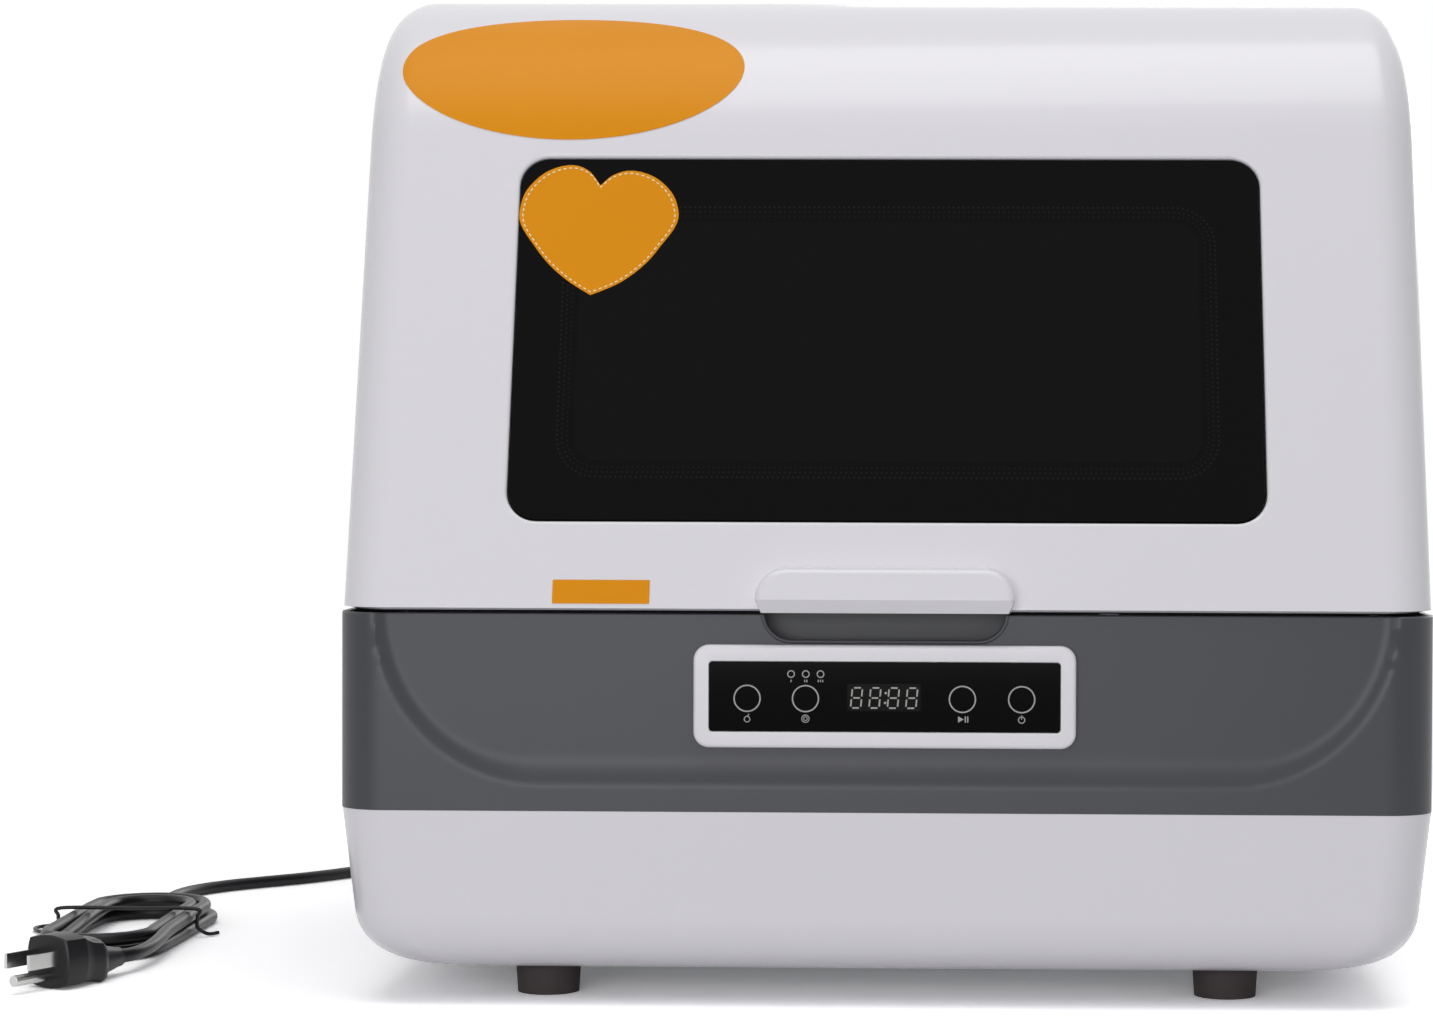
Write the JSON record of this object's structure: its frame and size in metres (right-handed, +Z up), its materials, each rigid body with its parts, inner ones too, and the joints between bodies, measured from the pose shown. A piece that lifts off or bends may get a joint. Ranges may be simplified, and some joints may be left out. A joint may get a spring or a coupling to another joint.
{
  "type": "countertop dishwasher",
  "caption": "Compact countertop dishwasher: a windowed hood that lifts on a rear hinge over a tub with rack, basket, spray arm, pumps and a front touch panel, with cord and plug.",
  "frame": {"origin": "on the worktop, under the middle of the body without its cord", "axes": "+Z up, the front with the control panel faces -Y, +X to the right seen from the front"},
  "size_m": [0.6327, 0.4988, 0.43],
  "materials": {
    "white_plastic": "satin",
    "belt_plastic": "fine matt",
    "black_glass": "printed black from behind",
    "clear_glass": "clear",
    "steel": "brushed",
    "zinc_steel": "plain",
    "dark_plastic": "matt",
    "light_plastic": "matt",
    "liner_plastic": "satin",
    "bezel_plastic": "satin",
    "basket_plastic": "matt",
    "display_plastic": "matt",
    "board": "coated",
    "seal_rubber": "matt",
    "foot_rubber": "matt",
    "black_rubber": "matt",
    "blade_brass": "nickel plated"
  },
  "bodies": {
    "housing": {"base_shell": "white_plastic", "bottom_plate": "zinc_steel", "feet": "foot_rubber", "foot_screws": "zinc_steel", "belt_housing": "belt_plastic", "rear_housing": "white_plastic", "rear_cover": "belt_plastic", "cover_screws": "zinc_steel", "tub": "steel", "door_seal": "seal_rubber", "sump": "dark_plastic", "coarse_filter": "steel", "fine_filter": "steel", "spray_post": "dark_plastic", "spray_cap": "dark_plastic", "heater": "steel", "wash_pump": "dark_plastic", "wash_duct": "dark_plastic", "sump_duct": "dark_plastic", "drain_pump": "dark_plastic", "drain_hose": "black_rubber", "drain_spigot": "dark_plastic", "inlet_valve": "light_plastic", "fill_hose": "black_rubber", "fan_housing": "dark_plastic", "power_board": "board", "panel_bezel": "bezel_plastic", "touch_glass": "black_glass", "display": "display_plastic", "control_board": "board", "latch_housing": "dark_plastic", "latch_spring": "zinc_steel", "hinge_pins": "zinc_steel", "dish_rack": "steel", "plate_tines": "steel", "cutlery_basket": "basket_plastic", "strain_relief": "black_rubber", "power_cord": "black_rubber", "cord_hank": "black_rubber", "cord_tail": "black_rubber", "twist_tie": "black_rubber", "plug_body": "black_rubber", "plug_pins": "blade_brass"},
    "hood": {"hood_shell": "white_plastic", "hood_liner": "liner_plastic", "window_glass": "black_glass", "window_gasket": "black_rubber", "inner_pane": "clear_glass", "striker": "zinc_steel", "hinge_arms": "zinc_steel", "hood_screws": "zinc_steel"},
    "spray_arm": {"spray_arm": "light_plastic"},
    "wash_impeller": {"wash_impeller": "light_plastic"},
    "drain_impeller": {"drain_impeller": "light_plastic"},
    "fan_impeller": {"fan_impeller": "light_plastic"},
    "latch_pawl": {"latch_pawl": "light_plastic"}
  },
  "joints": [
    {"name": "hood_hinge", "type": "hinge", "parent": "housing", "child": "hood", "pos_m": [0, 0.12, 0.422], "axis": [-1, 0, 0], "range_deg": [0, 80]},
    {"name": "spray_spin", "type": "hinge", "parent": "housing", "child": "spray_arm", "pos_m": [0, -0.032, 0.108], "axis": [0, 0, 1], "continuous": true},
    {"name": "wash_spin", "type": "hinge", "parent": "housing", "child": "wash_impeller", "pos_m": [-0.07, -0.032, 0.056], "axis": [1, 0, 0], "continuous": true},
    {"name": "drain_spin", "type": "hinge", "parent": "housing", "child": "drain_impeller", "pos_m": [0.07, 0.052, 0.054], "axis": [1, 0, 0], "continuous": true},
    {"name": "fan_spin", "type": "hinge", "parent": "housing", "child": "fan_impeller", "pos_m": [-0.1, 0.13, 0.293], "axis": [0, 1, 0], "continuous": true},
    {"name": "latch_turn", "type": "hinge", "parent": "housing", "child": "latch_pawl", "pos_m": [0.092, -0.1925, 0.1435], "axis": [1, 0, 0], "range_deg": [0, 12], "stiffness_Nm_per_rad": 0.05, "springref_deg": -5.73}
  ]
}
